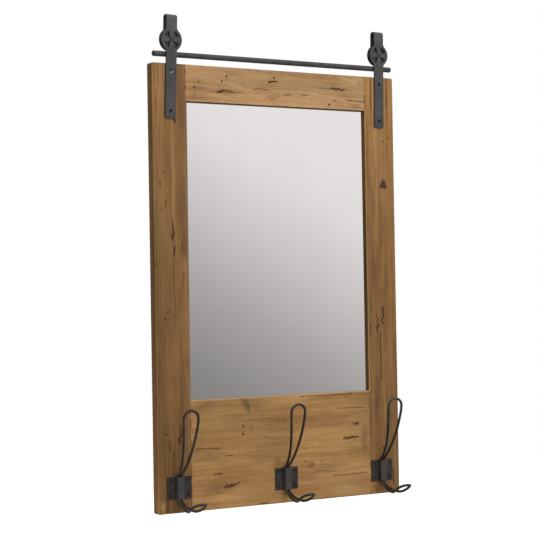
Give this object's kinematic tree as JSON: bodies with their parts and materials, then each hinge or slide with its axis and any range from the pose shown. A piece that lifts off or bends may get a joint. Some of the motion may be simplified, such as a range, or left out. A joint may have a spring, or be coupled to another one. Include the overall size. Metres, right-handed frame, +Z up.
{
  "type": "mirror with hooks",
  "caption": "Wall mirror in a plain wooden frame, with barn-door style strap hangers, wheels and a rod above it and wire coat hooks along its lower edge.",
  "frame": {"origin": "on the wall plane, at the frame's mid width, level with the hang points of the two keyholes, which is the middle of the top rail's height", "axes": "+Z up, +Y into the wall (the mirror faces -Y), +X to the right of someone who looks into the mirror"},
  "size_m": [0.61, 0.1132, 1.0159],
  "materials": {
    "wood": "matt, worn, with an open grain",
    "dowel_wood": "raw",
    "hardboard": "smooth pressed board",
    "mirror": "polished",
    "dark_metal": "satin powder coat on steel",
    "zinc_steel": "zinc plated"
  },
  "bodies": {
    "frame": {"left_stile": "wood", "right_stile": "wood", "top_rail": "wood", "bottom_rail": "wood", "frame_dowels": "dowel_wood", "mirror_glass": "mirror", "back_panel": "hardboard", "back_panel_screws": "zinc_steel", "left_hanger": "dark_metal", "right_hanger": "dark_metal", "left_hanger_screws": "dark_metal", "right_hanger_screws": "dark_metal", "left_axle": "dark_metal", "right_axle": "dark_metal", "rail_rod": "dark_metal", "rod_welds": "dark_metal", "left_hook_plate": "dark_metal", "middle_hook_plate": "dark_metal", "right_hook_plate": "dark_metal", "left_hook_wire": "dark_metal", "middle_hook_wire": "dark_metal", "right_hook_wire": "dark_metal", "left_hook_screws": "dark_metal", "middle_hook_screws": "dark_metal", "right_hook_screws": "dark_metal", "left_keyhole_plate": "zinc_steel", "right_keyhole_plate": "zinc_steel", "keyhole_plate_screws": "zinc_steel"},
    "left_wheel_body": {"left_wheel": "dark_metal"},
    "right_wheel_body": {"right_wheel": "dark_metal"}
  },
  "joints": [
    {"name": "left_wheel_spin", "type": "hinge", "parent": "frame", "child": "left_wheel_body", "pos_m": [-0.258, -0.0145, 0.086], "axis": [0, 1, 0], "continuous": true},
    {"name": "right_wheel_spin", "type": "hinge", "parent": "frame", "child": "right_wheel_body", "pos_m": [0.266, -0.0145, 0.086], "axis": [0, 1, 0], "continuous": true}
  ]
}
